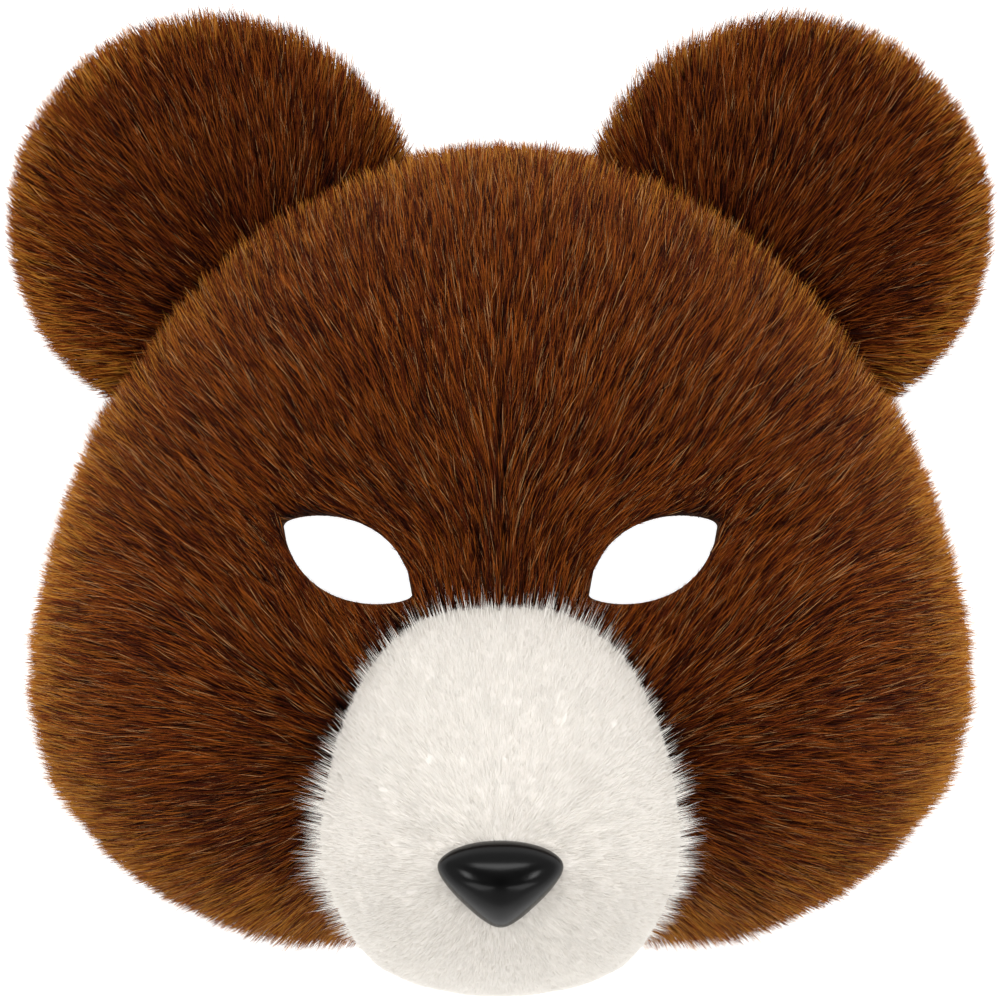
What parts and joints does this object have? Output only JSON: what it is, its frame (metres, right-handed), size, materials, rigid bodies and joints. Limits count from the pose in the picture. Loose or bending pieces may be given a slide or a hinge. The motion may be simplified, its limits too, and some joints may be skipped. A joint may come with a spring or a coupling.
{
  "type": "bear mask",
  "caption": "Furry bear face mask with round padded ears, cut almond eye holes, a white short-pile muzzle and a glossy nose, hollow behind for a wearer's face.",
  "frame": {"origin": "middle of the mask's footprint on the plane of its rim, where it lies on a surface", "axes": "+Z out of the face, +Y towards the ears, +X to the right of someone facing the mask"},
  "size_m": [0.225, 0.2206, 0.1056],
  "materials": {
    "wall_felt": "dark brown pressed felt",
    "brown_pile": "deep brown pile, lighter at the tips",
    "white_pile": "short off-white pile",
    "nose_gloss": "glossy black moulded plastic",
    "stud_plastic": "plain dark plastic"
  },
  "bodies": {
    "root": {"face_shell": "wall_felt", "face_fur": "brown_pile", "muzzle_shell": "wall_felt", "muzzle_fur": "white_pile", "ear_left": "brown_pile", "ear_right": "brown_pile", "nose": "nose_gloss", "nose_post": "stud_plastic"}
  },
  "joints": []
}
